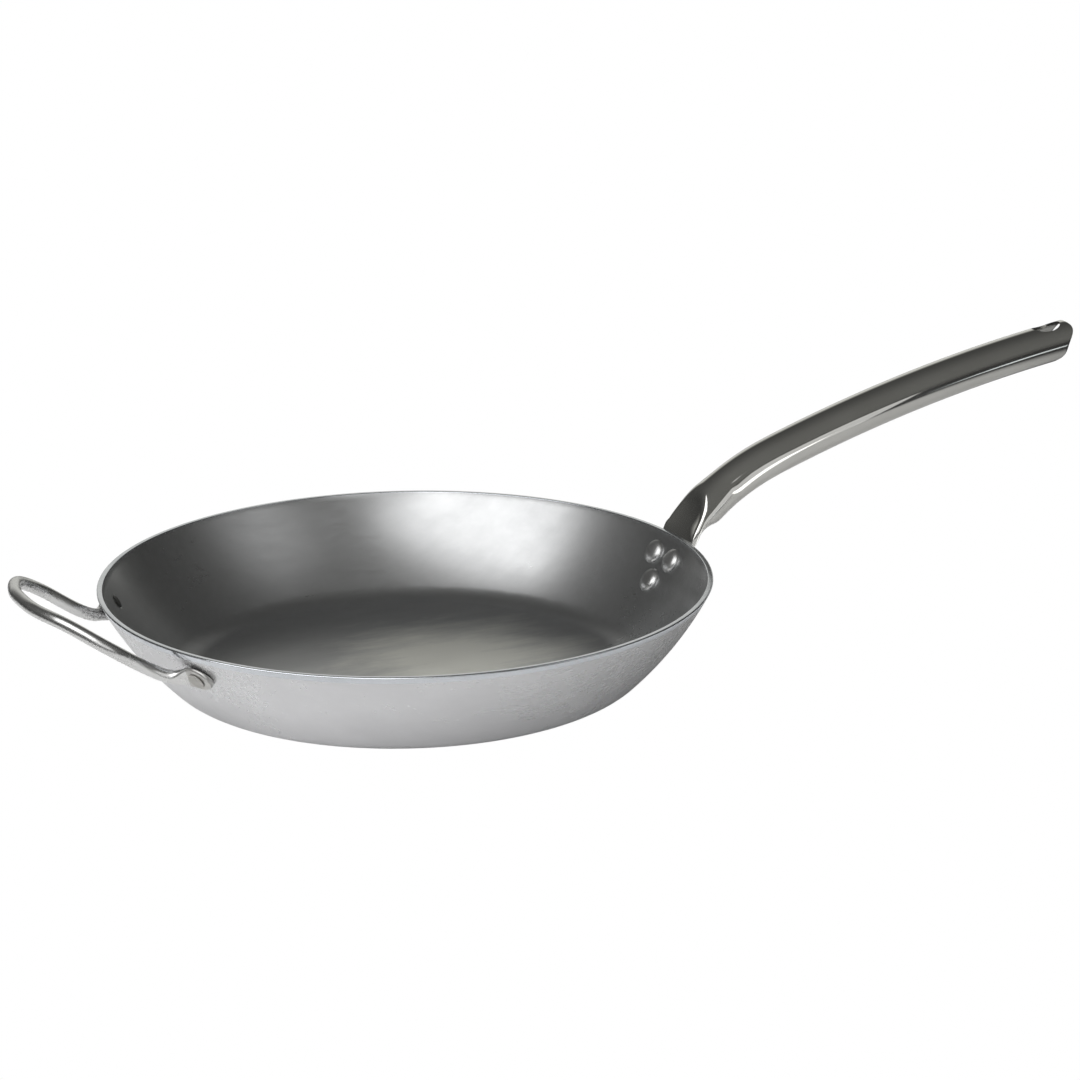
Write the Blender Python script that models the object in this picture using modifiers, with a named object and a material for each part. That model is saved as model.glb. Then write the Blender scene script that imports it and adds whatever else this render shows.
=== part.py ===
"""Carbon-steel frying pan with a riveted tube handle and a riveted helper handle.

Metres. The origin is the centre of the pan's flat underside, +Z is up, and +X points
along the long handle. The pan is symmetric about the XZ plane.
"""
from math import acos, cos, exp, pi, radians, sin, sqrt

import bmesh
import bpy
from mathutils import Matrix, Vector
from mathutils.geometry import interpolate_bezier

# ---- driving dimensions ---------------------------------------------------------------
RIM_RADIUS = 0.180          # outside of the rim
SHEET = 0.003               # thickness of the pan's steel
FILLET_RADIUS = 0.0255      # outside of the bend between base and wall
FILLET_ANGLE = radians(44.3)
WALL_RADIUS = 0.200         # the wall is a shallow arc in section
RIM_ANGLE = radians(63.0)   # slope of the wall at the rim
RIM_CHAMFER = 0.0005
GAP = 0.0003                # between pieces that touch
PAN_STEPS = 96

TUBE_RADIUS = 0.012
TUBE_WALL = 0.0015
PLATE_HALF_WIDTH = 0.0186   # the tube pressed flat, where it is riveted
PLATE_THICKNESS = 0.003
PLATE_CORNER = 0.010
PLATE_LENGTH = 0.039        # along the wall, below the rim
HANDLE_LENGTH = 0.2890      # along the handle's centre line, beyond the rim
PLATE_LEAVES = 0.018        # depth below the rim where the straight plate leaves the wall
# Along the centre line, beyond the rim: where each change starts and ends.
NECK_SLOPE = radians(34.7)
NECK_TURN = 0.0058, 0.0213      # the centre line turns out of the plate's slope
NECK_NARROWS = 0.0023, 0.0439   # the plate's width shrinks to the tube's
NECK_DEEPENS = 0.0022, 0.0254   # the underside reaches the tube's
NECK_ROUNDS = 0.0, 0.0075       # the plate's square edges turn round
NECK_FADES = 0.0242, 0.0844     # from the neck's slope to the tube's
NECK_BULGE = 0.0008, 0.0067, 0.0083   # height, place and reach of the swelling below
TUBE_SLOPE = radians(23.2), radians(7.5)   # at the neck and at the end
PRESS_SLOPE = radians(57.7)     # of the flat that is pressed into the tube's end
PRESS_CURL = 0.010, 16.0        # where the flat starts to curl upwards, and how fast
PRESS_DISH = 0.0022             # how far the flat's edges stand above its middle
PRESS_EDGE = 0.0045             # rounding between the flat and the tube
NOSE_TILT = 0.53            # the end is cut obliquely, with the top longer
NOSE_ROUND = 0.0065, 0.0085, 0.0110
HANG_HOLE = 0.2800          # centre of the hanging hole along the handle
HANG_HALF_LENGTH = 0.0098
HANG_HALF_WIDTH = 0.0068
LINE_STEP = 0.0005

ROD_RADIUS = 0.0038         # helper handle
PADDLE_HALF_WIDTH = 0.0082
PADDLE_REACH = 0.0102       # from the rivet to the paddle's end
PADDLE_THICKNESS = 0.003

SHANK_RADIUS = 0.0032
HOLE_RADIUS = 0.0035
HEAD = 0.0077, 0.0030       # radius and height of the handle's rivet heads in the pan
SMALL_HEAD = 0.0042, 0.0008     # the same for the helper handle's rivets
TAIL_RADIUS = 0.0052        # heads on the outside
HANDLE_RIVETS = {"upper_left": (radians(3.65), 0.0156),   # angle round the pan, depth below the rim
                 "upper_right": (radians(-3.65), 0.0156),
                 "lower": (0.0, 0.0324)}
HELPER_RIVET_ANGLE = radians(24.9)
HELPER_RIVET_DEPTH = 0.0168

SECTION_POINTS = 36
RIVET_STEPS = 24
ROD_POINTS = 16


# ---- scene ----------------------------------------------------------------------------
for old in list(bpy.data.objects):
    bpy.data.objects.remove(old, do_unlink=True)


def new_collection(name):
    group = bpy.data.collections.new(name)
    bpy.context.scene.collection.children.link(group)
    return group


PARTS = new_collection("frying_pan")
CUTTERS = new_collection("cutters")


def metal(name, color, roughness):
    material = bpy.data.materials.new(name)
    material.use_nodes = True
    shader = material.node_tree.nodes["Principled BSDF"]
    shader.inputs["Base Color"].default_value = (*color, 1.0)
    shader.inputs["Metallic"].default_value = 1.0
    shader.inputs["Roughness"].default_value = roughness
    return material


def add_object(name, mesh, group, material=None):
    piece = bpy.data.objects.new(name, mesh)
    group.objects.link(piece)
    if material:
        mesh.materials.append(material)
        mesh.shade_smooth()
        mesh.set_sharp_from_angle(angle=radians(35))
    else:
        piece.hide_render = True
        piece.display_type = "WIRE"
    return piece


def cut(piece, cutter):
    boolean = piece.modifiers.new(cutter.name, "BOOLEAN")
    boolean.operation = "DIFFERENCE"
    boolean.solver = "EXACT"
    boolean.object = cutter


def smooth_step(start, end, value):
    t = min(max((value - start) / (end - start), 0.0), 1.0)
    return t * t * (3.0 - 2.0 * t)


def mix(a, b, t):
    return a + (b - a) * t


# ---- the pan's section, as a function of the wall's slope ------------------------------
BASE_RADIUS = (RIM_RADIUS - WALL_RADIUS * (sin(RIM_ANGLE) - sin(FILLET_ANGLE))
               - FILLET_RADIUS * sin(FILLET_ANGLE))
WALL_CENTRE = (BASE_RADIUS + (FILLET_RADIUS - WALL_RADIUS) * sin(FILLET_ANGLE),
               FILLET_RADIUS + (WALL_RADIUS - FILLET_RADIUS) * cos(FILLET_ANGLE))
RIM_HEIGHT = WALL_CENTRE[1] - WALL_RADIUS * cos(RIM_ANGLE)


def section_point(slope, inset=0.0):
    """Radius and height where the outer surface has this slope, moved inwards by inset."""
    if slope <= FILLET_ANGLE:
        reach = FILLET_RADIUS - inset
        return BASE_RADIUS + reach * sin(slope), FILLET_RADIUS - reach * cos(slope)
    reach = WALL_RADIUS - inset
    return WALL_CENTRE[0] + reach * sin(slope), WALL_CENTRE[1] - reach * cos(slope)


def wall_frame(angle, depth, outset=0.0):
    """Point on the wall at an angle round the pan and a depth below the rim, with its
    outward normal and its direction up the wall."""
    slope = RIM_ANGLE - depth / WALL_RADIUS
    radius, height = section_point(slope, -outset)
    point = Vector((radius * cos(angle), radius * sin(angle), height))
    normal = Vector((sin(slope) * cos(angle), sin(slope) * sin(angle), -cos(slope)))
    upward = Vector((cos(slope) * cos(angle), cos(slope) * sin(angle), sin(slope)))
    return point, normal, upward


def slopes(start, end, count):
    return [mix(start, end, i / count) for i in range(count + 1)]


def pan_profile():
    """Inner floor, inner wall, flat rim and outer wall, from the axis back to the axis."""
    inner_rim = acos((WALL_CENTRE[1] - RIM_HEIGHT + RIM_CHAMFER) / (WALL_RADIUS - SHEET))
    inner = slopes(0.0, FILLET_ANGLE, 5) + slopes(FILLET_ANGLE, inner_rim, 6)[1:]
    outer_rim = RIM_ANGLE - RIM_CHAMFER / WALL_RADIUS
    outer = slopes(outer_rim, FILLET_ANGLE, 6) + slopes(FILLET_ANGLE, 0.0, 6)[1:]
    rim_inside = section_point(inner_rim, SHEET)[0] + RIM_CHAMFER
    rim = [(rim_inside, RIM_HEIGHT), (RIM_RADIUS - RIM_CHAMFER, RIM_HEIGHT)]
    points = [(0.0, SHEET)] + [section_point(slope, SHEET) for slope in inner] + rim
    points += [section_point(slope) for slope in outer] + [(0.0, 0.0)]
    return points


def turned(name, profile, steps, group, material=None, matrix=None):
    """Solid of revolution about its own Z axis."""
    mesh = bpy.data.meshes.new(name)
    mesh.from_pydata([(r, 0.0, z) for r, z in profile],
                     [(i, i + 1) for i in range(len(profile) - 1)], [])
    piece = add_object(name, mesh, group, material)
    if matrix:
        piece.matrix_world = matrix
    screw = piece.modifiers.new("turn", "SCREW")
    screw.steps = steps
    screw.render_steps = steps
    screw.use_merge_vertices = True
    screw.merge_threshold = 0.00001
    screw.use_smooth_shade = True
    return piece


def loft(name, rings, group, material=None):
    """Skin over rings that all have the same number of points, with a face on each end."""
    count = len(rings[0])
    body = bmesh.new()
    rows = [[body.verts.new(point) for point in ring] for ring in rings]
    for row, following in zip(rows, rows[1:]):
        for i in range(count):
            j = (i + 1) % count
            body.faces.new((row[i], row[j], following[j], following[i]))
    body.faces.new(rows[0][::-1])
    body.faces.new(rows[-1])
    bmesh.ops.recalc_face_normals(body, faces=body.faces)
    mesh = bpy.data.meshes.new(name)
    body.to_mesh(mesh)
    body.free()
    return add_object(name, mesh, group, material)


# ---- rivets ---------------------------------------------------------------------------
def rivet_matrix(angle, depth):
    point, normal, upward = wall_frame(angle, depth)
    across = upward.cross(normal)
    return Matrix.Translation(point) @ Matrix((upward, across * -1.0, normal)).transposed().to_4x4()


def dome(radius, height, base, sign, count):
    """A low dome with round shoulders, from its foot to the axis; sign is the way it stands."""
    points = []
    for i in range(count):
        turn = pi / 2.0 * i / count
        points.append((radius * cos(turn) ** 0.72, base + sign * height * sin(turn) ** 1.05))
    return points + [(0.0, base + sign * height)]


def rivet(name, angle, depth, stack, head, tail_height, material):
    """Domed head inside the pan, shank through the wall, and a head outside the part that is
    stack thick."""
    outside = GAP + stack + GAP
    inside = -SHEET - GAP
    profile = dome(TAIL_RADIUS, tail_height, outside, 1.0, 5)[::-1]
    profile += [(SHANK_RADIUS, outside), (SHANK_RADIUS, inside)]
    profile += dome(*head, inside, -1.0, 7)
    return turned(name, profile, RIVET_STEPS, PARTS, material, rivet_matrix(angle, depth))


def drill(angle, depth, pieces):
    """Hole for a rivet's shank, through the wall and what is riveted to it."""
    length = 0.012
    profile = [(0.0, length), (HOLE_RADIUS, length), (HOLE_RADIUS, -length), (0.0, -length)]
    cutter = turned(f"drill_{len(CUTTERS.objects)}", profile, RIVET_STEPS, CUTTERS,
                    matrix=rivet_matrix(angle, depth))
    for piece in pieces:
        cut(piece, cutter)


# ---- long handle ----------------------------------------------------------------------
PLATE_SLOPE = RIM_ANGLE - PLATE_LEAVES / WALL_RADIUS


def handle_slope(distance):
    """Slope of the centre line at a distance beyond the rim."""
    tube = mix(*TUBE_SLOPE, distance / HANDLE_LENGTH)
    neck = mix(NECK_SLOPE, tube, smooth_step(*NECK_FADES, distance))
    return mix(PLATE_SLOPE, neck, smooth_step(*NECK_TURN, distance))


def trace_handle():
    """Points along the centre line from where the plate leaves the wall."""
    line = [wall_frame(0.0, PLATE_LEAVES, GAP + PLATE_THICKNESS / 2.0)[0]]
    for i in range(int((HANDLE_LENGTH + PLATE_LEAVES + 0.03) / LINE_STEP)):
        slope = handle_slope((i + 0.5) * LINE_STEP - PLATE_LEAVES)
        line.append(line[-1] + Vector((cos(slope), 0.0, sin(slope))) * LINE_STEP)
    return line


HANDLE_LINE = trace_handle()


def handle_line(distance):
    """Point on the centre line and the slope there. It follows the wall up to PLATE_LEAVES."""
    if distance <= -PLATE_LEAVES:
        point = wall_frame(0.0, -distance, GAP + PLATE_THICKNESS / 2.0)[0]
        return point, RIM_ANGLE + distance / WALL_RADIUS
    whole, part = divmod((distance + PLATE_LEAVES) / LINE_STEP, 1.0)
    point = HANDLE_LINE[int(whole)].lerp(HANDLE_LINE[int(whole) + 1], part)
    return point, handle_slope(distance)


def press_height(distance):
    """Height above the centre line of the pressed flat, which goes straight on from the plate
    and curls up through the top of the tube."""
    flat = PLATE_THICKNESS / 2.0
    if distance <= 0.0:
        return flat
    point, slope = handle_line(distance)
    start = handle_line(0.0)[0] + Vector((-sin(PLATE_SLOPE), 0.0, cos(PLATE_SLOPE))) * flat - point
    height = (start.z * cos(PRESS_SLOPE) - start.x * sin(PRESS_SLOPE)) / cos(PRESS_SLOPE - slope)
    return height + PRESS_CURL[1] * max(distance - PRESS_CURL[0], 0.0) ** 2


def soft_minimum(a, b, blend):
    overlap = max(blend - abs(a - b), 0.0) / blend
    return min(a, b) - overlap * overlap * blend / 4.0


def handle_section(distance, shrink=0.0):
    """Closed section across the handle: a flat plate below the rim, a round tube beyond the
    neck, and between them a tube whose top is pressed down to a dished flat."""
    half_width = mix(PLATE_HALF_WIDTH, TUBE_RADIUS, smooth_step(*NECK_NARROWS, distance))
    from_corner = PLATE_CORNER - (distance + PLATE_LENGTH)
    if from_corner > 0.0:
        half_width += sqrt(PLATE_CORNER ** 2 - from_corner ** 2) - PLATE_CORNER
    belly = mix(PLATE_THICKNESS / 2.0, TUBE_RADIUS, smooth_step(*NECK_DEEPENS, distance))
    belly += NECK_BULGE[0] * exp(-((distance - NECK_BULGE[1]) / NECK_BULGE[2]) ** 2)
    power = 2.0 / mix(5.0, 2.0, smooth_step(*NECK_ROUNDS, distance))
    press = press_height(distance)
    dish = PRESS_DISH * smooth_step(-0.004, 0.010, distance)
    section = []
    for i in range(SECTION_POINTS):
        angle = 2.0 * pi * i / SECTION_POINTS
        x, y = cos(angle), sin(angle)
        side = abs(x) ** power * (1.0 if x >= 0.0 else -1.0)
        rise = abs(y) ** power
        if y > 0.0:
            height = soft_minimum((TUBE_RADIUS - shrink) * rise, press - shrink + dish * side * side,
                                  PRESS_EDGE)
            height = max(height, 0.0)
        else:
            height = -(belly - shrink) * rise
        section.append(((half_width - shrink) * side, height))
    return section


def nose(height):
    """How far the oblique, rounded end reaches beyond HANDLE_LENGTH at a height on the tube."""
    across = height / TUBE_RADIUS
    square = NOSE_ROUND[1] if height > 0.0 else NOSE_ROUND[2]
    return NOSE_TILT * height + NOSE_ROUND[0] * across ** 2 - square * across ** 4


def handle_ring(distance, shrink=0.0, towards_nose=0.0):
    """A section placed in space, wrapped round the wall near the pan and sheared to the nose
    near the end."""
    wrap = 1.0 - smooth_step(0.004, 0.020, distance)
    ring = []
    for side, rise in handle_section(distance, shrink):
        point, slope = handle_line(distance + towards_nose * nose(rise))
        point = point + Vector((-sin(slope), 0.0, cos(slope))) * rise
        point.x += wrap * (sqrt(point.x ** 2 - side ** 2) - point.x)
        point.y = side
        ring.append(point)
    return ring


def make_handle(material):
    plate = [PLATE_CORNER * (1.0 - cos(pi / 2.0 * i / 5)) - PLATE_LENGTH for i in range(6)]
    plate[0] += 0.0002
    plate += [-0.024, -PLATE_LEAVES, -0.010, -0.004]
    neck = [0.0, 0.0015, 0.003, 0.0045, 0.006, 0.0075, 0.009, 0.0105, 0.012, 0.0135, 0.015, 0.0165,
            0.018, 0.0195, 0.021, 0.0225, 0.024, 0.0255, 0.027, 0.029, 0.031, 0.033, 0.036]
    tube = [mix(0.040, HANDLE_LENGTH - 0.024, i / 20) for i in range(21)]
    rings = [handle_ring(distance) for distance in plate + neck + tube]
    end_steps = [(mix(tube[-1], HANDLE_LENGTH, step), step ** 2) for step in (0.25, 0.5, 0.75, 1.0)]
    rings += [handle_ring(distance, 0.0, towards_nose) for distance, towards_nose in end_steps]
    rings += [handle_ring(distance, TUBE_WALL, towards_nose)
              for distance, towards_nose in end_steps[::-1]]
    rings.append(handle_ring(tube[-1], TUBE_WALL))
    rings += [handle_ring(distance, TUBE_WALL) for distance in tube[:-1][::-1]]
    rings.append(handle_ring(0.036, 0.006))
    handle = loft("handle_tube", rings, PARTS, material)
    cut(handle, hanging_hole())
    return handle


def hanging_hole():
    """Oval cutter through the top wall of the tube."""
    point, slope = handle_line(HANG_HOLE)
    along = Vector((cos(slope), 0.0, sin(slope)))
    upward = Vector((-sin(slope), 0.0, cos(slope)))
    rings = []
    for height in (0.001, 2.0 * TUBE_RADIUS):
        rings.append([point + upward * height
                      + along * HANG_HALF_LENGTH * cos(2.0 * pi * i / 32)
                      + Vector((0.0, HANG_HALF_WIDTH * sin(2.0 * pi * i / 32), 0.0))
                      for i in range(32)])
    return loft("hanging_hole", rings, CUTTERS)


# ---- helper handle --------------------------------------------------------------------
def helper_points():
    """Points along one half of the rod, from the end of its paddle to the middle of the grip."""
    reach = PADDLE_REACH / RIM_RADIUS
    offset = GAP + PADDLE_THICKNESS / 2.0
    points = []
    for turn, lift in ((reach, 0.0), (0.0, 0.0), (-0.6 * reach, 0.0003)):
        angle = pi - HELPER_RIVET_ANGLE - turn
        points.append(wall_frame(angle, HELPER_RIVET_DEPTH, offset + lift)[0])
    points += [Vector((-0.1700, 0.0610, 0.0440)), Vector((-0.1820, 0.0575, 0.0500)),
               Vector((-0.2030, 0.0588, 0.0645)), Vector((-0.2210, 0.0438, 0.0760)),
               Vector((-0.2304, 0.0195, 0.0788)), Vector((-0.2320, 0.0, 0.0791))]
    return points


def helper_line():
    """Smooth curve through the rod's points, as a dense list of points."""
    points = helper_points()
    mirrored = points[-2] * Vector((1.0, -1.0, 1.0))
    padded = [points[0] * 2.0 - points[1]] + points + [mirrored]
    line = []
    for before, start, end, after in zip(padded, padded[1:], padded[2:], padded[3:]):
        span = (end - start).length
        leave = (end - before).normalized() * span / 3.0
        arrive = (after - start).normalized() * span / 3.0
        line += interpolate_bezier(start, start + leave, end - arrive, end, 7)[:-1]
    return line + [points[-1]]


def make_helper(material):
    """The rod's end is pressed flat between two dies into a paddle on the wall; the other half
    is its mirror image."""
    line = helper_line()
    width_axis = wall_frame(pi - HELPER_RIVET_ANGLE, HELPER_RIVET_DEPTH)[2]
    travelled = 0.0
    rings = []
    for i, point in enumerate(line):
        following = line[min(i + 1, len(line) - 1)]
        previous = line[max(i - 1, 0)]
        tangent = (following - previous).normalized()
        if i == len(line) - 1:
            tangent = Vector((0.0, -1.0, 0.0))
        width_axis = (width_axis - tangent * width_axis.dot(tangent)).normalized()
        thick_axis = tangent.cross(width_axis)
        travelled += (point - previous).length
        narrowing = smooth_step(0.0125, 0.0265, travelled)
        half_width = mix(PADDLE_HALF_WIDTH, ROD_RADIUS, narrowing)
        from_end = max(PADDLE_REACH - travelled - 0.0002, 0.0) / PADDLE_REACH
        half_width -= PADDLE_HALF_WIDTH * (1.0 - sqrt(1.0 - from_end ** 2))
        die = mix(PADDLE_THICKNESS / 2.0, ROD_RADIUS, smooth_step(0.0150, 0.030, travelled))
        bulge = mix(0.0024, ROD_RADIUS, narrowing)
        ring = []
        for k in range(ROD_POINTS):
            angle = 2.0 * pi * k / ROD_POINTS
            rise = max(min(bulge * sin(angle), die), -die)
            ring.append(point + width_axis * half_width * cos(angle) + thick_axis * rise)
        rings.append(ring)
    helper = loft("helper_handle", rings, PARTS, material)
    mirror = helper.modifiers.new("other_half", "MIRROR")
    mirror.use_axis = (False, True, False)
    mirror.use_mirror_merge = True
    mirror.merge_threshold = 0.00001
    body = bmesh.new()
    body.from_mesh(helper.data)
    on_plane = [face for face in body.faces if all(abs(vert.co.y) < 1e-6 for vert in face.verts)]
    bmesh.ops.delete(body, geom=on_plane, context="FACES_ONLY")
    body.to_mesh(helper.data)
    body.free()
    return helper


# ---- assembly -------------------------------------------------------------------------
carbon_steel = metal("carbon_steel", (0.42, 0.42, 0.42), 0.35)
tube_steel = metal("polished_stainless", (0.62, 0.61, 0.59), 0.12)
rod_steel = metal("satin_stainless", (0.60, 0.59, 0.57), 0.20)
rivet_steel = metal("rivet_steel", (0.58, 0.58, 0.57), 0.25)

pan = turned("pan_body", pan_profile(), PAN_STEPS, PARTS, carbon_steel)
handle = make_handle(tube_steel)
helper = make_helper(rod_steel)

for place, (angle, depth) in HANDLE_RIVETS.items():
    rivet(f"handle_rivet_{place}", angle, depth, PLATE_THICKNESS, HEAD, 0.0022, rivet_steel)
    drill(angle, depth, (pan, handle))

for place, side in (("back", 1.0), ("front", -1.0)):
    angle = pi - side * HELPER_RIVET_ANGLE
    rivet(f"helper_rivet_{place}", angle, HELPER_RIVET_DEPTH, PADDLE_THICKNESS, SMALL_HEAD,
          0.0008, rivet_steel)
    drill(angle, HELPER_RIVET_DEPTH, (pan, helper))
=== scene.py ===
"""Looks of the carbon-steel frying pan, its tube handle and its helper handle.

Metres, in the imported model's frame: the origin is the centre of the pan's underside, +Z is up
and +X points along the long handle.
"""
from math import acos, atan2, cos, exp, pi, radians, sin, sqrt

import bmesh
import bpy
from mathutils import Matrix, Vector
from mathutils.geometry import interpolate_bezier


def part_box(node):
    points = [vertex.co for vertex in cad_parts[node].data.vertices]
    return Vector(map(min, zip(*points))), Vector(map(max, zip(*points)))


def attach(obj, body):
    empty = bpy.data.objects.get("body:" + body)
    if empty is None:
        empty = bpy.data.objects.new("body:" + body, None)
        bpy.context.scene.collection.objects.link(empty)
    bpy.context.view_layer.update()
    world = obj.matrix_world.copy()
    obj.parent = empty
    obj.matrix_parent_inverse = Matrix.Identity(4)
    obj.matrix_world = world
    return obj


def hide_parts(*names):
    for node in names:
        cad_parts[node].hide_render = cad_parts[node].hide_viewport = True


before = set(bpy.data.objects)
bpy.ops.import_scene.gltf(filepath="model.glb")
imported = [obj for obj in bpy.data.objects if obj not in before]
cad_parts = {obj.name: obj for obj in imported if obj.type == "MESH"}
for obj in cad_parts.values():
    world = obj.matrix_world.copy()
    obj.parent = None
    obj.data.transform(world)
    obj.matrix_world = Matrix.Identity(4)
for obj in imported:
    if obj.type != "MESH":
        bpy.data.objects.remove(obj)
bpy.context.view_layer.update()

# ---- sizes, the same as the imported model's ----------------------------------------------
RIM_RADIUS = 0.180
SHEET = 0.003
FILLET_RADIUS = 0.0255
FILLET_ANGLE = radians(44.3)
WALL_RADIUS = 0.200
RIM_ANGLE = radians(63.0)
RIM_EDGE_OUT = 0.0009           # rounding of the rim's outer edge
RIM_EDGE_IN = 0.0005            # and of its inner edge
GAP = 0.0003                    # between touching pieces

TUBE_RADIUS = 0.012
TUBE_WALL = 0.0015
PLATE_HALF_WIDTH = 0.0186
PLATE_THICKNESS = 0.003
PLATE_CORNER = 0.010
PLATE_LENGTH = 0.039
HANDLE_LENGTH = 0.2888
PLATE_LEAVES = 0.018            # depth below the rim where the straight plate leaves the wall
NECK_SLOPE = radians(34.7)
NECK_TURN = 0.0058, 0.0213      # the centre line turns out of the plate's slope
NECK_NARROWS = 0.0023, 0.0439   # the plate's width shrinks to the tube's
NECK_DEEPENS = 0.0022, 0.0254   # the underside reaches the tube's
NECK_ROUNDS = 0.0, 0.0075       # the plate's square edges turn round
NECK_FADES = 0.0242, 0.0844     # from the neck's slope to the tube's
NECK_BULGE = 0.0008, 0.0067, 0.0083   # height, place and reach of the swelling below
TUBE_SLOPE = radians(23.2), radians(7.5)
PRESS_SLOPE = radians(57.7)     # of the flat that is pressed into the tube's end
PRESS_CURL = 0.010, 16.0        # where the flat starts to curl upwards, and how fast
PRESS_DISH = 0.0022             # how far the flat's edges stand above its middle
PRESS_EDGE = 0.0045             # rounding between the flat and the tube
NOSE_TILT = 0.53                # how obliquely the tube is cut off
NOSE_LENGTH = 0.024             # over which the sections shear to the oblique cut
HOLLOW_START = 0.040            # where the tube's hollow begins, beyond the rim
NOSE_ROUND = 0.0065, 0.0085, 0.0110   # swell of the cut, and how it falls off above and below
HANG_HOLE = 0.2800              # its place along the handle, beyond the rim
HANG_HALF_LENGTH = 0.0098
HANG_HALF_WIDTH = 0.0068

ROD_RADIUS = 0.00375
PADDLE_HALF_WIDTH = 0.0082
PADDLE_REACH = 0.0102           # from the rivet to the paddle's end
PADDLE_THICKNESS = 0.003
PADDLE_BLENDS = 0.0165          # where the paddle's satin face meets the polished rod

SHANK_RADIUS = 0.0032
HOLE_RADIUS = 0.0034
HEAD = 0.0077, 0.0030           # radius and height in the pan
SMALL_HEAD = 0.0042, 0.0008     # the same for the helper handle's rivets
TAIL_RADIUS = 0.0052
HANDLE_RIVETS = {"upper_left": (radians(3.65), 0.0156),
                 "upper_right": (radians(-3.65), 0.0156),
                 "lower": (0.0, 0.0324)}
HELPER_RIVET_ANGLE = radians(24.9)
HELPER_RIVET_DEPTH = 0.0168

PAN_STEPS = 360
TUBE_POINTS = 96
ROD_POINTS = 48
RIVET_STEPS = 64
DRILL_STEPS = 40
HOLE_STEPS = 96
LINE_STEP = 0.00025             # along the handle's centre line
AXIS_RADIUS = 0.0001            # instead of zero, where a turned profile ends on its axis
SHARP_ANGLE = radians(40)       # of edges that are shaded sharp on the handles

# ---- camera -----------------------------------------------------------------------------
VIEW_AZIMUTH = radians(-25.6)
VIEW_ELEVATION = radians(17.1)
VIEW_ROLL = radians(-0.56)
VIEW_DISTANCE = 2.116
VIEW_LENS = 120.67
VIEW_AIM = 0.0785, 0.0213       # right and up of the rim's centre, in the picture's plane
VIEW_TURN = Matrix.Rotation(VIEW_AZIMUTH, 3, "Z")

# ---- studio -----------------------------------------------------------------------------
WHITE = 1.0, 1.0, 1.0
LIGHT_AIM = 0.06, 0.0, 0.05     # what the softboxes face
STRIP_HEIGHT = 0.004            # of the strips of light over the table

TABLE_CENTRE = 0.06, 0.08       # of its bright part, right and away as the camera sees it
TABLE_REACH = 0.52, 0.42

# ---- finish -----------------------------------------------------------------------------
METALLIC = 0.96
WORN_CENTRE = 0.033, 0.006, 0.003   # the scoured patch on the pan's floor
WORN_REACH = 0.080, 0.028           # from where it starts to show to where it is complete


def mix(a, b, t):
    return a + (b - a) * t


def smooth_step(start, end, value):
    t = min(max((value - start) / (end - start), 0.0), 1.0)
    return t * t * (3.0 - 2.0 * t)


# ---- the pan's section, as a function of the wall's slope --------------------------------
BASE_RADIUS = (RIM_RADIUS - WALL_RADIUS * (sin(RIM_ANGLE) - sin(FILLET_ANGLE))
               - FILLET_RADIUS * sin(FILLET_ANGLE))
WALL_CENTRE = (BASE_RADIUS + (FILLET_RADIUS - WALL_RADIUS) * sin(FILLET_ANGLE),
               FILLET_RADIUS + (WALL_RADIUS - FILLET_RADIUS) * cos(FILLET_ANGLE))
RIM_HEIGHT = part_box("pan_body")[1].z


def section_point(slope, inset=0.0):
    """Radius and height where the outer surface has this slope, moved inwards by inset."""
    if slope <= FILLET_ANGLE:
        reach = FILLET_RADIUS - inset
        return BASE_RADIUS + reach * sin(slope), FILLET_RADIUS - reach * cos(slope)
    reach = WALL_RADIUS - inset
    return WALL_CENTRE[0] + reach * sin(slope), WALL_CENTRE[1] - reach * cos(slope)


def wall_frame(angle, depth, outset=0.0):
    """Point on the wall at an angle round the pan and a depth below the rim, with its
    outward normal and its direction up the wall."""
    slope = RIM_ANGLE - depth / WALL_RADIUS
    radius, height = section_point(slope, -outset)
    point = Vector((radius * cos(angle), radius * sin(angle), height))
    normal = Vector((sin(slope) * cos(angle), sin(slope) * sin(angle), -cos(slope)))
    upward = Vector((cos(slope) * cos(angle), cos(slope) * sin(angle), sin(slope)))
    return point, normal, upward


def spread(start, end, count):
    return [mix(start, end, i / count) for i in range(count + 1)]


# ---- meshes -----------------------------------------------------------------------------
def skin(name, rings, materials, zones=None, caps=True):
    """Closed skin over rings with equal numbers of points. zones gives the material of each
    band between two rings."""
    count = len(rings[0])
    body = bmesh.new()
    rows = [[body.verts.new(point) for point in ring] for ring in rings]
    for band, (row, following) in enumerate(zip(rows, rows[1:])):
        for i in range(count):
            j = (i + 1) % count
            face = body.faces.new((row[i], row[j], following[j], following[i]))
            face.material_index = zones[band] if zones else 0
    if caps:
        body.faces.new(rows[0][::-1])
        last = body.faces.new(rows[-1])
        last.material_index = zones[-1] if zones else 0
    bmesh.ops.recalc_face_normals(body, faces=body.faces)
    mesh = bpy.data.meshes.new(name)
    body.to_mesh(mesh)
    body.free()
    for material in materials:
        mesh.materials.append(material)
    mesh.shade_smooth()
    piece = bpy.data.objects.new(name, mesh)
    bpy.context.scene.collection.objects.link(piece)
    return piece


def revolve(profile, steps, matrix=None):
    """Rings for a profile of (radius, height), turned about Z and placed by a matrix."""
    turns = [2.0 * pi * i / steps for i in range(steps)]
    rings = []
    for radius, height in profile:
        ring = [Vector((radius * cos(turn), radius * sin(turn), height)) for turn in turns]
        rings.append([matrix @ point for point in ring] if matrix else ring)
    return rings


def corner(centre, radius, start, end, count):
    """Points on an arc, in degrees from the +radius direction."""
    return [(centre[0] + radius * cos(radians(angle)), centre[1] + radius * sin(radians(angle)))
            for angle in spread(start, end, count)]


def finish_piece(piece, node, body="root"):
    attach(piece, body)
    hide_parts(node)
    return piece


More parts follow.
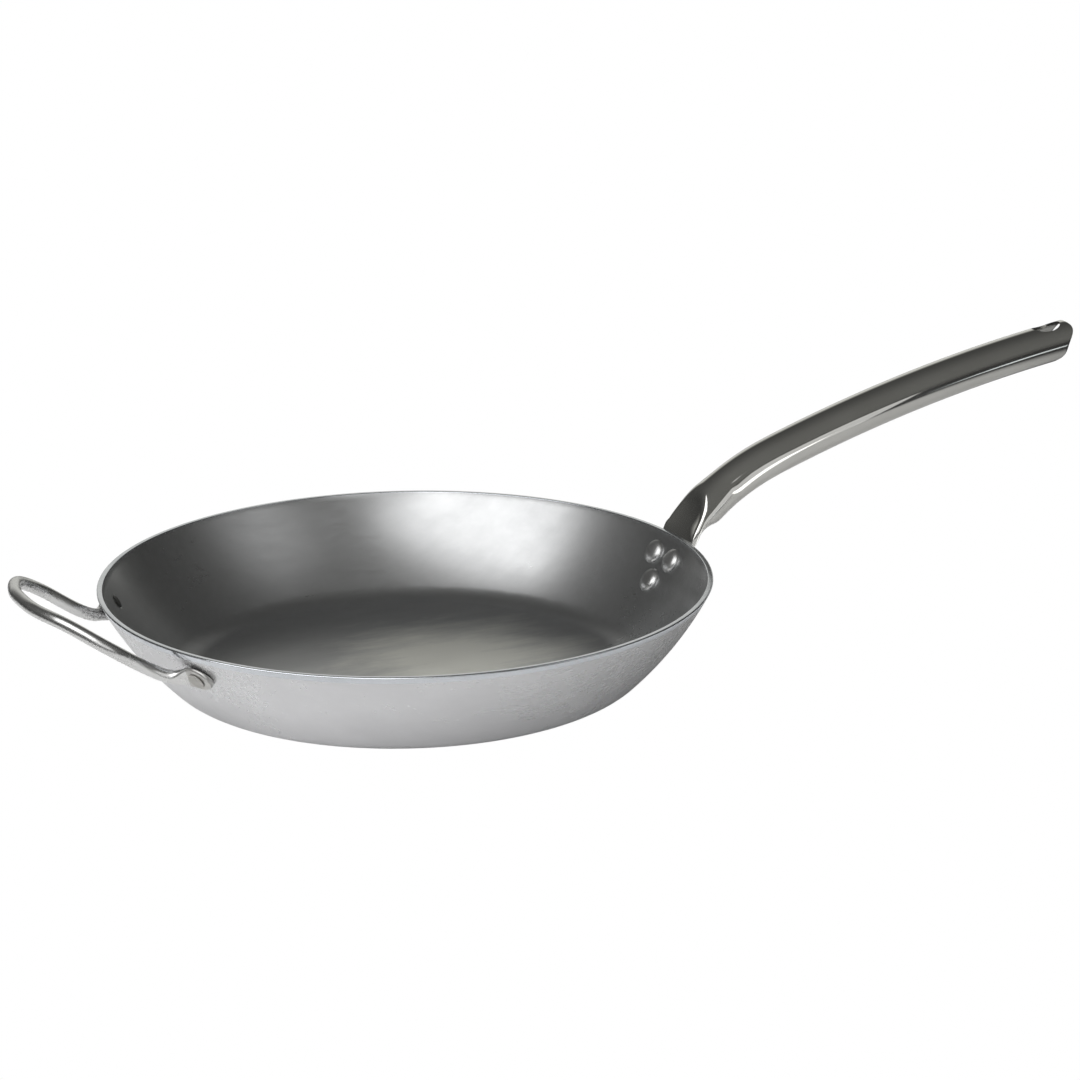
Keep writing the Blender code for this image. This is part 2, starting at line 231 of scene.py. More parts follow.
def cut(piece, cutter):
    """Cuts the piece for good and removes the cutter."""
    boolean = piece.modifiers.new("cut", "BOOLEAN")
    boolean.operation = "DIFFERENCE"
    boolean.solver = "EXACT"
    boolean.object = cutter
    apply_modifiers(piece)
    bpy.data.objects.remove(cutter, do_unlink=True)


def apply_modifiers(piece):
    bpy.context.view_layer.update()
    evaluated = piece.evaluated_get(bpy.context.evaluated_depsgraph_get())
    mesh = bpy.data.meshes.new_from_object(evaluated)
    piece.modifiers.clear()
    piece.data = mesh


# ---- materials --------------------------------------------------------------------------
class Nodes:
    """Short way to build a node tree for one material."""

    def __init__(self, name):
        self.material = bpy.data.materials.new(name)
        self.material.use_nodes = True
        self.tree = self.material.node_tree
        self.shader = self.tree.nodes["Principled BSDF"]
        self.place = self.add("ShaderNodeTexCoord").outputs["Object"]

    def add(self, kind, **values):
        node = self.tree.nodes.new(kind)
        for key, value in values.items():
            setattr(node, key, value)
        return node

    def link(self, source, target):
        self.tree.links.new(source, target)

    def stretched(self, scale):
        mapping = self.add("ShaderNodeMapping")
        mapping.inputs["Scale"].default_value = scale
        self.link(self.place, mapping.inputs["Vector"])
        return mapping.outputs["Vector"]

    def noise(self, scale, detail=4.0, roughness=0.5, stretch=(1.0, 1.0, 1.0)):
        texture = self.add("ShaderNodeTexNoise")
        texture.inputs["Scale"].default_value = scale
        texture.inputs["Detail"].default_value = detail
        texture.inputs["Roughness"].default_value = roughness
        self.link(self.stretched(stretch), texture.inputs["Vector"])
        return texture.outputs["Fac"]

    def distance(self, centre):
        """Distance from a point of the model."""
        node = self.add("ShaderNodeVectorMath", operation="DISTANCE")
        self.link(self.place, node.inputs[0])
        node.inputs[1].default_value = centre
        return node.outputs["Value"]

    def remap(self, source, low, high, to_low, to_high):
        ranged = self.add("ShaderNodeMapRange")
        ranged.inputs["From Min"].default_value = low
        ranged.inputs["From Max"].default_value = high
        ranged.inputs["To Min"].default_value = to_low
        ranged.inputs["To Max"].default_value = to_high
        self.link(source, ranged.inputs["Value"])
        return ranged.outputs["Result"]

    def math(self, operation, a, b):
        node = self.add("ShaderNodeMath", operation=operation)
        for socket, value in zip(node.inputs, (a, b)):
            if isinstance(value, (int, float)):
                socket.default_value = value
            else:
                self.link(value, socket)
        return node.outputs[0]

    def blend_colors(self, factor, first, second):
        node = self.add("ShaderNodeMix", data_type="RGBA")
        self.link(factor, node.inputs[0])
        for socket, value in zip((node.inputs[6], node.inputs[7]), (first, second)):
            if isinstance(value, tuple):
                socket.default_value = (*value, 1.0)
            else:
                self.link(value, socket)
        return node.outputs[2]

    def bump(self, height, distance, strength=1.0, normal=None):
        node = self.add("ShaderNodeBump")
        node.inputs["Strength"].default_value = strength
        node.inputs["Distance"].default_value = distance
        self.link(height, node.inputs["Height"])
        if normal:
            self.link(normal, node.inputs["Normal"])
        return node.outputs["Normal"]

    def steel(self, color, roughness, normal):
        self.shader.inputs["Metallic"].default_value = METALLIC
        self.link(color, self.shader.inputs["Base Color"])
        self.link(roughness, self.shader.inputs["Roughness"])
        self.link(normal, self.shader.inputs["Normal"])
        return self.material


def pan_steel(name, dark, light, rough_low, rough_high, blotch, worn=None):
    """Bare rolled sheet: fine grain along X, soft blotches and small rubbed patches. worn is
    the colour of the scoured middle of the floor."""
    n = Nodes(name)
    grain = n.noise(500.0, 3.0, 0.6, (0.06, 1.0, 1.0))
    blotches = n.noise(14.0, 5.0, 0.62, (0.7, 1.3, 1.3))
    patches = n.noise(42.0, 6.0, 0.7, (0.35, 1.0, 1.0))
    mottle = n.math("ADD", n.math("MULTIPLY", blotches, 1.0 - blotch),
                    n.math("MULTIPLY", patches, blotch))
    color = n.blend_colors(n.remap(mottle, 0.35, 0.65, 0.0, 1.0), dark, light)
    tone = n.remap(grain, 0.3, 0.7, -0.03, 0.03)
    roughness = n.math("ADD", n.remap(mottle, 0.35, 0.65, rough_high, rough_low), tone)
    if worn:
        streaks = n.noise(55.0, 5.0, 0.7, (0.25, 1.0, 1.0))
        edge = n.math("ADD", n.distance(WORN_CENTRE), n.remap(streaks, 0.3, 0.7, 0.022, -0.022))
        rubbed = n.remap(edge, *WORN_REACH, 0.0, 1.0)
        color = n.blend_colors(rubbed, color, worn)
        roughness = n.math("ADD", roughness, n.math("MULTIPLY", rubbed, 0.05))
    normal = n.bump(grain, 0.0000025, 0.6)
    normal = n.bump(patches, 0.000006, 0.3, normal)
    return n.steel(color, roughness, normal)


def polished_steel(name, color_a, color_b, rough_low, rough_high, stretch, lines_depth=0.000002):
    """Drawn and buffed stainless: nearly a mirror, with faint draw lines and haze."""
    n = Nodes(name)
    lines = n.noise(1200.0, 2.0, 0.5, stretch)
    haze = n.noise(35.0, 4.0, 0.6)
    color = n.blend_colors(n.remap(haze, 0.3, 0.7, 0.0, 1.0), color_a, color_b)
    roughness = n.math("ADD", n.remap(haze, 0.3, 0.7, rough_low, rough_high),
                       n.remap(lines, 0.3, 0.7, -0.015, 0.015))
    normal = n.bump(lines, lines_depth, 0.5)
    return n.steel(color, roughness, normal)


inner_steel = pan_steel("pan_inner_steel", (0.42, 0.425, 0.43), (0.51, 0.515, 0.52),
                        0.28, 0.36, 0.4, worn=(0.80, 0.80, 0.755))
outer_steel = pan_steel("pan_outer_steel", (0.56, 0.56, 0.57), (0.62, 0.62, 0.63), 0.26, 0.34, 0.25)
rim_steel = pan_steel("pan_rim_steel", (0.52, 0.54, 0.57), (0.62, 0.64, 0.67), 0.14, 0.24, 0.5)
tube_steel = polished_steel("tube_polished_steel", (0.62, 0.615, 0.59), (0.66, 0.655, 0.63),
                            0.05, 0.10, (0.03, 1.0, 1.0))
rod_steel = polished_steel("rod_polished_steel", (0.58, 0.58, 0.575), (0.64, 0.64, 0.635),
                           0.24, 0.32, (1.0, 1.0, 1.0), 0.0000005)
paddle_steel = polished_steel("paddle_satin_steel", (0.44, 0.435, 0.42), (0.50, 0.495, 0.48),
                              0.30, 0.38, (1.0, 1.0, 1.0), 0.0000005)
rivet_steel = polished_steel("rivet_satin_steel", (0.50, 0.50, 0.50), (0.58, 0.58, 0.575),
                             0.28, 0.36, (1.0, 1.0, 1.0))
pressed_steel = polished_steel("pressed_rivet_steel", (0.37, 0.36, 0.34), (0.44, 0.43, 0.41),
                               0.34, 0.42, (1.0, 1.0, 1.0), 0.0000005)
# Painted shade: a near-black colour on the helper rivets' inner heads, standing in for the shadow
# round them.
painted_shade_steel = polished_steel("painted_shade_rivet_steel", (0.05, 0.05, 0.05), (0.10, 0.10, 0.095),
                             0.40, 0.50, (1.0, 1.0, 1.0), 0.0000005)


# ---- pan --------------------------------------------------------------------------------
def make_pan():
    """Floor, inner wall, rim and outer wall. The rim is cut flat and its edges are rounded."""
    inner_rim = acos((WALL_CENTRE[1] - RIM_HEIGHT + RIM_EDGE_IN) / (WALL_RADIUS - SHEET))
    floor_radii = AXIS_RADIUS, 0.02, 0.045, 0.07, 0.095, 0.115
    inner = [(radius, SHEET) for radius in floor_radii]
    inner += [section_point(slope, SHEET) for slope in spread(0.0, FILLET_ANGLE, 14)]
    inner += [section_point(slope, SHEET) for slope in spread(FILLET_ANGLE, inner_rim, 18)[1:]]
    edge_in = inner[-1][0] + RIM_EDGE_IN
    rim = corner((edge_in, RIM_HEIGHT - RIM_EDGE_IN), RIM_EDGE_IN, 160, 90, 4)
    outer_rim = RIM_ANGLE - RIM_EDGE_OUT / WALL_RADIUS
    outer_top = section_point(outer_rim)
    rim += corner((outer_top[0] - RIM_EDGE_OUT, RIM_HEIGHT - RIM_EDGE_OUT), RIM_EDGE_OUT, 90, 5, 6)
    outer = [section_point(slope) for slope in spread(outer_rim, FILLET_ANGLE, 18)[1:]]
    outer += [section_point(slope) for slope in spread(FILLET_ANGLE, 0.0, 14)[1:]]
    outer += [(radius, 0.0) for radius in floor_radii[::-1]]
    profile = inner + rim + outer
    zones = [0] * (len(inner) - 1) + [1] * (len(rim) + 1) + [2] * (len(outer) - 1)
    metals = inner_steel, rim_steel, outer_steel
    pan = skin("pan_shell", revolve(profile, PAN_STEPS), metals, zones)
    drill(pan, [*HANDLE_RIVETS.values(), *helper_rivet_places().values()])
    return finish_piece(pan, "pan_body")


# ---- rivets -----------------------------------------------------------------------------
def helper_rivet_places():
    return {"back": (pi - HELPER_RIVET_ANGLE, HELPER_RIVET_DEPTH),
            "front": (pi + HELPER_RIVET_ANGLE, HELPER_RIVET_DEPTH)}


def rivet_matrix(angle, depth):
    point, normal, upward = wall_frame(angle, depth)
    across = normal.cross(upward)
    return Matrix.Translation(point) @ Matrix((upward, across, normal)).transposed().to_4x4()


def drill(piece, places):
    """Holes for the rivets' shanks."""
    reach = 0.012
    profile = [(HOLE_RADIUS, -reach), (HOLE_RADIUS, reach)]
    for place in places:
        cut(piece, skin("drill", revolve(profile, DRILL_STEPS, rivet_matrix(*place)), ()))


def dome(radius, height, base, sign, count):
    """A low dome with round shoulders, from its foot to the axis; sign is the way it stands."""
    points = []
    for i in range(count + 1):
        turn = pi / 2.0 * i / count
        points.append((max(radius * cos(turn) ** 0.72, AXIS_RADIUS),
                       base + sign * height * sin(turn) ** 1.05))
    return points


def make_rivet(name, node, place, stack, head, tail, metals):
    """Domed head in the pan, shank, and outer head. tail is the outer head's profile, and
    metals are those of the outer and the inner head."""
    inside = -SHEET - GAP
    profile = tail(GAP + stack + GAP)[::-1]
    profile += [(SHANK_RADIUS, GAP + stack + GAP), (SHANK_RADIUS, inside)]
    zones = [0] * len(profile)
    profile += dome(*head, inside, -1.0, 20)
    zones += [1] * (len(profile) - 1 - len(zones))
    rivet = skin(name, revolve(profile, RIVET_STEPS, rivet_matrix(*place)), metals, zones)
    return finish_piece(rivet, node)


def domed_tail(base):
    return dome(TAIL_RADIUS, 0.0022, base, 1.0, 12)


def pressed_tail(base):
    """A flush, slightly dished disc inside a shallow ring."""
    rim = 0.0007
    steps = [(TAIL_RADIUS, 0.0), (TAIL_RADIUS, 0.4 * rim), (TAIL_RADIUS - 0.0003, 0.8 * rim),
             (TAIL_RADIUS - 0.0008, rim), (TAIL_RADIUS - 0.0014, 0.85 * rim),
             (TAIL_RADIUS - 0.0019, 0.35 * rim), (TAIL_RADIUS - 0.0026, 0.3 * rim),
             (0.0012, 0.45 * rim), (AXIS_RADIUS, 0.5 * rim)]
    return [(radius, base + height) for radius, height in steps]


# ---- long handle ------------------------------------------------------------------------
PLATE_SLOPE = RIM_ANGLE - PLATE_LEAVES / WALL_RADIUS


def handle_slope(distance):
    """Slope of the centre line at a distance beyond the rim."""
    tube = mix(*TUBE_SLOPE, distance / HANDLE_LENGTH)
    neck = mix(NECK_SLOPE, tube, smooth_step(*NECK_FADES, distance))
    return mix(PLATE_SLOPE, neck, smooth_step(*NECK_TURN, distance))


def trace_handle():
    """Points along the centre line from where the plate leaves the wall."""
    line = [wall_frame(0.0, PLATE_LEAVES, GAP + PLATE_THICKNESS / 2.0)[0]]
    for i in range(int((HANDLE_LENGTH + PLATE_LEAVES + 0.03) / LINE_STEP)):
        slope = handle_slope((i + 0.5) * LINE_STEP - PLATE_LEAVES)
        line.append(line[-1] + Vector((cos(slope), 0.0, sin(slope))) * LINE_STEP)
    return line


HANDLE_LINE = trace_handle()


def handle_line(distance):
    """Point on the centre line and the slope there. It follows the wall up to PLATE_LEAVES."""
    if distance <= -PLATE_LEAVES:
        point = wall_frame(0.0, -distance, GAP + PLATE_THICKNESS / 2.0)[0]
        return point, RIM_ANGLE + distance / WALL_RADIUS
    whole, part = divmod((distance + PLATE_LEAVES) / LINE_STEP, 1.0)
    point = HANDLE_LINE[int(whole)].lerp(HANDLE_LINE[int(whole) + 1], part)
    return point, handle_slope(distance)


def press_height(distance):
    """Height above the centre line of the pressed flat, which goes straight on from the plate
    and curls up through the top of the tube."""
    flat = PLATE_THICKNESS / 2.0
    if distance <= 0.0:
        return flat
    point, slope = handle_line(distance)
    start = handle_line(0.0)[0] + Vector((-sin(PLATE_SLOPE), 0.0, cos(PLATE_SLOPE))) * flat - point
    height = (start.z * cos(PRESS_SLOPE) - start.x * sin(PRESS_SLOPE)) / cos(PRESS_SLOPE - slope)
    return height + PRESS_CURL[1] * max(distance - PRESS_CURL[0], 0.0) ** 2


def soft_minimum(a, b, blend):
    overlap = max(blend - abs(a - b), 0.0) / blend
    return min(a, b) - overlap * overlap * blend / 4.0


def handle_section(distance, shrink=0.0):
    """Closed section across the handle: a flat plate below the rim, a round tube beyond the
    neck, and between them a tube whose top is pressed down to a dished flat."""
    half_width = mix(PLATE_HALF_WIDTH, TUBE_RADIUS, smooth_step(*NECK_NARROWS, distance))
    from_corner = PLATE_CORNER - (distance + PLATE_LENGTH)
    if from_corner > 0.0:
        half_width += sqrt(PLATE_CORNER ** 2 - from_corner ** 2) - PLATE_CORNER
    belly = mix(PLATE_THICKNESS / 2.0, TUBE_RADIUS, smooth_step(*NECK_DEEPENS, distance))
    belly += NECK_BULGE[0] * exp(-((distance - NECK_BULGE[1]) / NECK_BULGE[2]) ** 2)
    power = 2.0 / mix(5.0, 2.0, smooth_step(*NECK_ROUNDS, distance))
    press = press_height(distance)
    dish = PRESS_DISH * smooth_step(-0.004, 0.010, distance)
    section = []
    for i in range(TUBE_POINTS):
        angle = 2.0 * pi * i / TUBE_POINTS
        x, y = cos(angle), sin(angle)
        side = abs(x) ** power * (1.0 if x >= 0.0 else -1.0)
        rise = abs(y) ** power
        if y > 0.0:
            pressed = press - shrink + dish * side * side
            height = max(soft_minimum((TUBE_RADIUS - shrink) * rise, pressed, PRESS_EDGE), 0.0)
        else:
            height = -(belly - shrink) * rise
        section.append(((half_width - shrink) * side, height))
    return section


def nose(height):
    """How far the oblique, rounded end reaches beyond HANDLE_LENGTH at a height on the tube."""
    across = height / TUBE_RADIUS
    square = NOSE_ROUND[1] if height > 0.0 else NOSE_ROUND[2]
    return NOSE_TILT * height + NOSE_ROUND[0] * across ** 2 - square * across ** 4


def handle_ring(distance, shrink=0.0, towards_nose=0.0):
    """A section placed in space, wrapped round the wall near the pan and sheared to the nose
    near the end."""
    wrap = 1.0 - smooth_step(0.004, 0.020, distance)
    ring = []
    for side, rise in handle_section(distance, shrink):
        point, slope = handle_line(distance + towards_nose * nose(rise))
        point = point + Vector((-sin(slope), 0.0, cos(slope))) * rise
        point.x += wrap * (sqrt(point.x ** 2 - side ** 2) - point.x)
        point.y = side
        ring.append(point)
    return ring


def hanging_hole():
    """Oval cutter through the top wall of the tube."""
    point, slope = handle_line(HANG_HOLE)
    along = Vector((cos(slope), 0.0, sin(slope)))
    upward = Vector((-sin(slope), 0.0, cos(slope)))
    turns = [2.0 * pi * i / HOLE_STEPS for i in range(HOLE_STEPS)]
    rings = [[point + upward * height + along * HANG_HALF_LENGTH * cos(turn)
              + Vector((0.0, HANG_HALF_WIDTH * sin(turn), 0.0)) for turn in turns]
             for height in (0.001, 2.0 * TUBE_RADIUS)]
    return skin("hole_cutter", rings, ())


def make_handle():
    end_start = HANDLE_LENGTH - NOSE_LENGTH
    plate = [PLATE_CORNER * (1.0 - cos(pi / 2.0 * i / 12)) - PLATE_LENGTH for i in range(13)]
    plate[0] += 0.0001
    stations = plate + spread(plate[-1], 0.0, 14)[1:] + spread(0.0, HOLLOW_START, 50)[1:]
    stations += spread(HOLLOW_START, end_start, 90)[1:]
    rings = [handle_ring(distance) for distance in stations]
    for step in spread(0.0, 1.0, 12)[1:-1]:
        rings.append(handle_ring(mix(end_start, HANDLE_LENGTH, step), 0.0, step ** 2))
    for turn in spread(0.0, pi, 8):
        back = TUBE_WALL / 2.0 * (1.0 - sin(turn))
        rings.append(handle_ring(HANDLE_LENGTH - back, TUBE_WALL / 2.0 * (1.0 - cos(turn)), 1.0))
    for step in spread(1.0, 0.0, 12)[1:]:
        rings.append(handle_ring(mix(end_start, HANDLE_LENGTH, step), TUBE_WALL, step ** 2))
    rings += [handle_ring(distance, TUBE_WALL)
              for distance in spread(end_start, HOLLOW_START, 60)[1:]]
    rings.append(handle_ring(HOLLOW_START - 0.004, TUBE_RADIUS / 2.0))
    handle = skin("long_handle", rings, (tube_steel,))
    cut(handle, hanging_hole())
    drill(handle, HANDLE_RIVETS.values())
    handle.data.set_sharp_from_angle(angle=SHARP_ANGLE)
    return finish_piece(handle, "handle_tube")


# ---- helper handle ----------------------------------------------------------------------
def helper_points():
    """Points along one half of the rod, from the end of its paddle to the middle of the grip."""
    reach = PADDLE_REACH / RIM_RADIUS
    offset = GAP + PADDLE_THICKNESS / 2.0
    points = []
    for turn, lift in ((reach, 0.0), (0.0, 0.0), (-0.6 * reach, 0.0003)):
        angle = pi - HELPER_RIVET_ANGLE - turn
        points.append(wall_frame(angle, HELPER_RIVET_DEPTH, offset + lift)[0])
    points += [Vector((-0.1700, 0.0610, 0.0440)), Vector((-0.1820, 0.0575, 0.0500)),
               Vector((-0.2030, 0.0588, 0.0645)), Vector((-0.2210, 0.0438, 0.0760)),
               Vector((-0.2304, 0.0195, 0.0788)), Vector((-0.2320, 0.0, 0.0791))]
    return points


def helper_line():
    """Smooth curve through the rod's points, as a dense list of points."""
    points = helper_points()
    mirrored = points[-2] * Vector((1.0, -1.0, 1.0))
    padded = [points[0] * 2.0 - points[1]] + points + [mirrored]
    line = []
    for before, start, end, after in zip(padded, padded[1:], padded[2:], padded[3:]):
        span = (end - start).length
        leave = (end - before).normalized() * span / 3.0
        arrive = (after - start).normalized() * span / 3.0
        line += interpolate_bezier(start, start + leave, end - arrive, end, 17)[:-1]
    return line + [points[-1]]


def helper_rings():
    """Rings of one half, and how many of them make the paddle. The rod's end is pressed flat
    between two dies, so its round section is cut off above and below and spreads sideways."""
    line = helper_line()
    width_axis = wall_frame(pi - HELPER_RIVET_ANGLE, HELPER_RIVET_DEPTH)[2]
    travelled = 0.0
    flat = 0
    rings = []
    for i, point in enumerate(line):
        following = line[min(i + 1, len(line) - 1)]
        previous = line[max(i - 1, 0)]
        tangent = (following - previous).normalized()
        if i == len(line) - 1:
            tangent = Vector((0.0, -1.0, 0.0))
        width_axis = (width_axis - tangent * width_axis.dot(tangent)).normalized()
        thick_axis = tangent.cross(width_axis)
        travelled += (point - previous).length
        narrowing = smooth_step(0.0125, 0.0265, travelled)
        half_width = mix(PADDLE_HALF_WIDTH, ROD_RADIUS, narrowing)
        from_end = max(PADDLE_REACH - travelled - 0.0001, 0.0) / PADDLE_REACH
        half_width -= PADDLE_HALF_WIDTH * (1.0 - sqrt(1.0 - from_end ** 2))
        die = mix(PADDLE_THICKNESS / 2.0, ROD_RADIUS, smooth_step(0.0150, 0.030, travelled))
        bulge = mix(0.0024, ROD_RADIUS, narrowing)
        ring = []
        for k in range(ROD_POINTS):
            angle = 2.0 * pi * k / ROD_POINTS
            rise = max(min(bulge * sin(angle), die), -die)
            ring.append(point + width_axis * half_width * cos(angle) + thick_axis * rise)
        rings.append(ring)
        flat += travelled < PADDLE_BLENDS
    return rings, flat


def make_helper():
    half, flat = helper_rings()
    other = [[Vector((p.x, -p.y, p.z)) for p in ring] for ring in half[:-1][::-1]]
    rings = half + other
    zones = [1] * flat + [0] * (len(rings) - 1 - 2 * flat) + [1] * flat
    helper = skin("helper_rod", rings, (rod_steel, paddle_steel), zones)
    drill(helper, helper_rivet_places().values())
    helper.data.set_sharp_from_angle(angle=SHARP_ANGLE)
    return finish_piece(helper, "helper_handle")


# ---- stage ------------------------------------------------------------------------------
def make_camera():
    forward = VIEW_TURN @ Vector((0.0, cos(VIEW_ELEVATION), -sin(VIEW_ELEVATION)))
    right = VIEW_TURN @ Vector((1.0, 0.0, 0.0))
    up = right.cross(forward)
    rolled_right = right * cos(VIEW_ROLL) + up * sin(VIEW_ROLL)
    rolled_up = up * cos(VIEW_ROLL) - right * sin(VIEW_ROLL)
    aim = Vector((0.0, 0.0, RIM_HEIGHT)) + rolled_right * VIEW_AIM[0] + rolled_up * VIEW_AIM[1]
    data = bpy.data.cameras.new("camera")
    data.lens = VIEW_LENS
    data.sensor_width = 36.0
    camera = bpy.data.objects.new("camera", data)
    bpy.context.scene.collection.objects.link(camera)
    axes = Matrix((rolled_right, rolled_up, -forward)).transposed().to_4x4()
    camera.matrix_world = Matrix.Translation(aim - forward * VIEW_DISTANCE) @ axes
    bpy.context.scene.camera = camera


def area_light(name, size, power, color=WHITE):
    data = bpy.data.lights.new(name, "AREA")
    data.shape = "RECTANGLE"
    data.size, data.size_y = size
    data.energy = power
    data.color = color
    light = bpy.data.objects.new(name, data)
    light.visible_camera = False
    bpy.context.scene.collection.objects.link(light)
    return light


def softbox(name, direction, distance, size, power, glossy=True):
    """Area light that faces the pan. direction is (right, away, up) as the camera sees it."""
    heading = (VIEW_TURN @ Vector(direction)).normalized()
    light = area_light(name, size, power)
    light.location = Vector(LIGHT_AIM) + heading * distance
    light.rotation_euler = heading.to_track_quat("Z", "Y").to_euler()
    light.visible_glossy = glossy


def shine_only_on(light_name, piece):
    """Screens a light from everything but one piece, as a flag beside a studio lamp does."""
    receivers = bpy.data.collections.new(f"{light_name}_receivers")
    receivers.objects.link(piece)
    bpy.data.objects[light_name].light_linking.receiver_collection = receivers


def glow_card(name, place, heading, size, radiance):
    """Small bright card near the pan, seen only in the metal's shine. Its place and the way
    it faces are (right, away, up) as the camera sees them."""
    light = area_light(name, size, radiance * pi * size[0] * size[1])
    light.location = VIEW_TURN @ Vector(place)
    light.rotation_euler = (VIEW_TURN @ Vector(heading)).to_track_quat("-Z", "Y").to_euler()
    light.visible_diffuse = False


def table_glow(name, start, end, width, radiance, color=WHITE):
    """Strip of light on the table, seen only in the metal's shine. It runs between two
    places, (right, away) from the pan's centre as the camera sees it."""
    along = VIEW_TURN @ Vector((end[0] - start[0], end[1] - start[1], 0.0))
    light = area_light(name, (along.length, width), radiance * pi * along.length * width, color)
    light.location = VIEW_TURN @ Vector((*start, STRIP_HEIGHT)) + along / 2.0
    light.rotation_euler = (pi, 0.0, atan2(along.y, along.x))
    light.visible_diffuse = False


def make_floor():
    """A white table that fades into a dark room. The camera sees it as plain white paper."""
    mesh = bpy.data.meshes.new("floor")
    body = bmesh.new()
    bmesh.ops.create_grid(body, x_segments=1, y_segments=1, size=6.0)
    body.to_mesh(mesh)
    body.free()
    material = bpy.data.materials.new("floor_white")
    material.use_nodes = True
    tree = material.node_tree
    tree.nodes.clear()
    output = tree.nodes.new("ShaderNodeOutputMaterial")
    path = tree.nodes.new("ShaderNodeLightPath")
    paper = tree.nodes.new("ShaderNodeEmission")
    paper.inputs["Strength"].default_value = 1.0
    table = tree.nodes.new("ShaderNodeBsdfDiffuse")
    place = tree.nodes.new("ShaderNodeTexCoord")
    moved = tree.nodes.new("ShaderNodeMapping")
    moved.vector_type = "TEXTURE"
    moved.inputs["Location"].default_value = VIEW_TURN @ Vector((*TABLE_CENTRE, 0.0))
    moved.inputs["Rotation"].default_value = (0.0, 0.0, VIEW_AZIMUTH)
    moved.inputs["Scale"].default_value = (*TABLE_REACH, 1.0)
    tree.links.new(place.outputs["Object"], moved.inputs["Vector"])
    length = tree.nodes.new("ShaderNodeVectorMath")
    length.operation = "LENGTH"
    tree.links.new(moved.outputs["Vector"], length.inputs[0])
    fade = tree.nodes.new("ShaderNodeMapRange")
    fade.interpolation_type = "SMOOTHSTEP"
    fade.inputs["From Min"].default_value = 0.85
    fade.inputs["From Max"].default_value = 1.15
    fade.inputs["To Min"].default_value = 0.80
    fade.inputs["To Max"].default_value = 0.06
    tree.links.new(length.outputs["Value"], fade.inputs["Value"])
    tree.links.new(fade.outputs["Result"], table.inputs["Color"])
    chooser = tree.nodes.new("ShaderNodeMixShader")
    tree.links.new(path.outputs["Is Camera Ray"], chooser.inputs["Fac"])
    tree.links.new(table.outputs["BSDF"], chooser.inputs[1])
    tree.links.new(paper.outputs["Emission"], chooser.inputs[2])
    tree.links.new(chooser.outputs["Shader"], output.inputs["Surface"])
    mesh.materials.append(material)
    floor = bpy.data.objects.new("floor", mesh)
    bpy.context.scene.collection.objects.link(floor)


def ramp(tree, source, low, high, to_low, to_high):
    ranged = tree.nodes.new("ShaderNodeMapRange")
    ranged.interpolation_type = "SMOOTHSTEP"
    ranged.inputs["From Min"].default_value = low
    ranged.inputs["From Max"].default_value = high
    ranged.inputs["To Min"].default_value = to_low
    ranged.inputs["To Max"].default_value = to_high
    tree.links.new(source, ranged.inputs["Value"])
    return ranged.outputs["Result"]


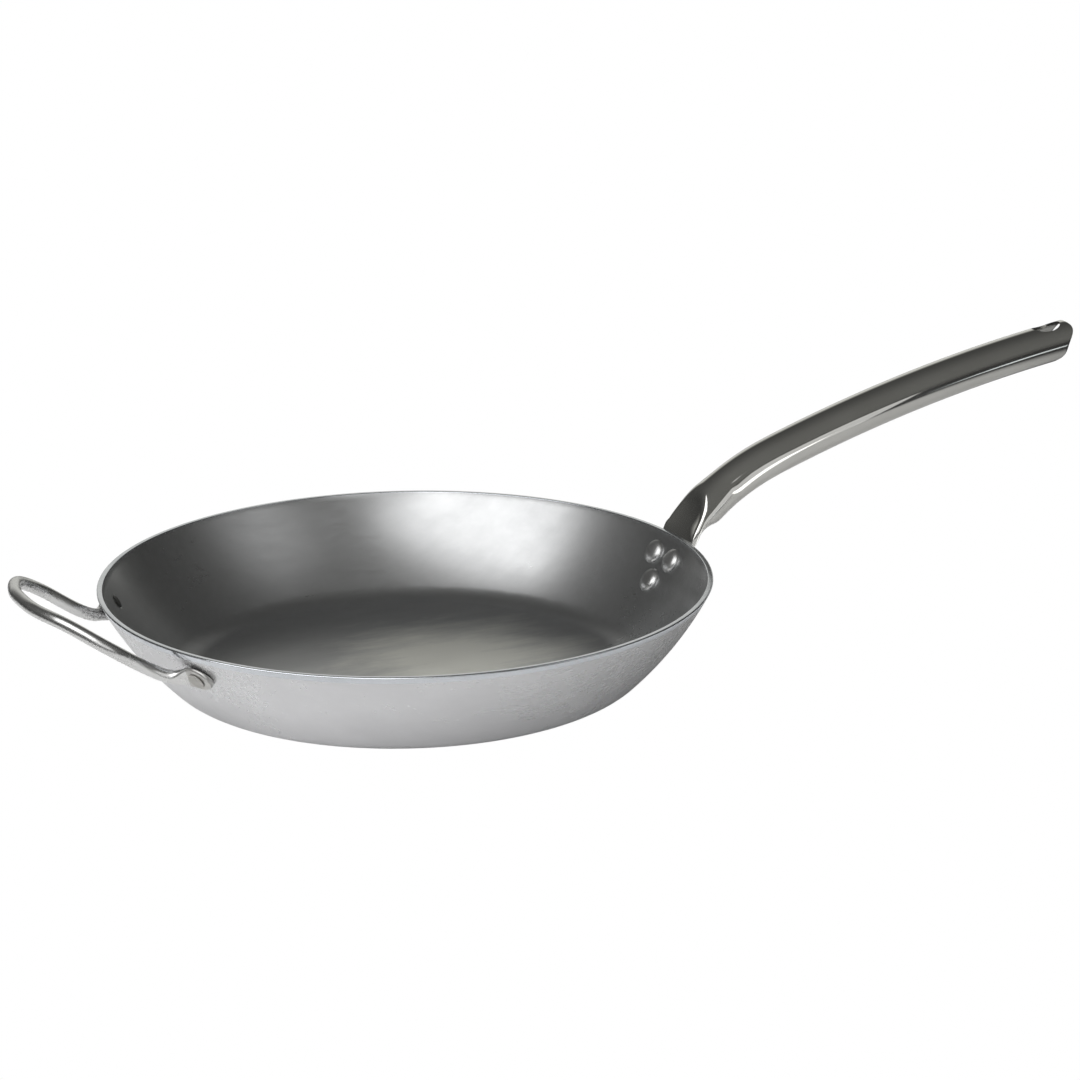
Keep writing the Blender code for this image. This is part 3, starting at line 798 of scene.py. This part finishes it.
def make_world():
    """A white room for the camera; the metal sees a dim room that is bright along the back."""
    world = bpy.data.worlds.new("studio")
    world.use_nodes = True
    bpy.context.scene.world = world
    tree = world.node_tree
    tree.nodes.clear()
    output = tree.nodes.new("ShaderNodeOutputWorld")
    path = tree.nodes.new("ShaderNodeLightPath")
    blank = tree.nodes.new("ShaderNodeBackground")
    blank.inputs["Color"].default_value = (1.0, 1.0, 1.0, 1.0)
    blank.inputs["Strength"].default_value = 1.1
    room = tree.nodes.new("ShaderNodeBackground")
    direction = tree.nodes.new("ShaderNodeTexCoord")
    turned = tree.nodes.new("ShaderNodeMapping")
    turned.vector_type = "POINT"
    turned.inputs["Rotation"].default_value = (0.0, 0.0, -VIEW_AZIMUTH)
    tree.links.new(direction.outputs["Generated"], turned.inputs["Vector"])
    split = tree.nodes.new("ShaderNodeSeparateXYZ")
    tree.links.new(turned.outputs["Vector"], split.inputs["Vector"])
    back = ramp(tree, split.outputs["Y"], 0.72, 0.96, 0.0, 0.74)
    front = ramp(tree, split.outputs["Y"], 0.65, -0.75, 0.045, 0.14)
    height = ramp(tree, split.outputs["Z"], -0.15, 0.35, 0.25, 1.0)
    ceiling = tree.nodes.new("ShaderNodeMath")
    ceiling.operation = "MULTIPLY"
    tree.links.new(front, ceiling.inputs[0])
    tree.links.new(height, ceiling.inputs[1])
    total = tree.nodes.new("ShaderNodeMath")
    total.operation = "ADD"
    tree.links.new(back, total.inputs[0])
    tree.links.new(ceiling.outputs[0], total.inputs[1])
    tree.links.new(total.outputs[0], room.inputs["Strength"])
    room.inputs["Color"].default_value = (1.0, 1.0, 0.95, 1.0)
    chooser = tree.nodes.new("ShaderNodeMixShader")
    tree.links.new(path.outputs["Is Camera Ray"], chooser.inputs["Fac"])
    tree.links.new(room.outputs["Background"], chooser.inputs[1])
    tree.links.new(blank.outputs["Background"], chooser.inputs[2])
    tree.links.new(chooser.outputs["Shader"], output.inputs["Surface"])


make_camera()
make_floor()
make_world()
softbox("key", (-0.46, -0.56, 0.69), 1.5, (1.90, 1.15), 15.5)
softbox("right_card", (0.73, -0.24, 0.64), 1.6, (0.8, 1.0), 1.4)
softbox("front_card", (0.13, -0.95, 0.28), 1.6, (1.35, 1.0), 3.4)
softbox("side_fill", (-0.70, -0.45, 0.75), 2.5, (2.4, 2.4), 30.0, glossy=False)
softbox("front_fill", (-0.2, -1.0, 0.35), 2.0, (2.0, 1.0), 19.0, glossy=False)
glow_card("near_card", (0.45, -0.08, 0.085), (-0.85, 0.50, 0.10), (0.17, 0.12), 0.7)
table_glow("near_glow", (0.27, 0.05), (0.69, -0.23), 0.045, 1.5)
table_glow("far_glow", (0.70, -0.06), (0.88, -0.06), 0.09, 1.1, (0.90, 0.97, 1.0))
bpy.context.scene.view_settings.view_transform = "Standard"

shine_only_on("right_card", make_pan())
make_handle()
make_helper()
for place_name, place in HANDLE_RIVETS.items():
    make_rivet(f"rivet_{place_name}", f"handle_rivet_{place_name}", place,
               PLATE_THICKNESS, HEAD, domed_tail, (rivet_steel, rivet_steel))
# The inner heads of the helper handle's rivets carry painted shade, not a colour of their own.
for place_name, place in helper_rivet_places().items():
    make_rivet(f"paddle_rivet_{place_name}", f"helper_rivet_{place_name}", place,
               PADDLE_THICKNESS, SMALL_HEAD, pressed_tail, (pressed_steel, painted_shade_steel))
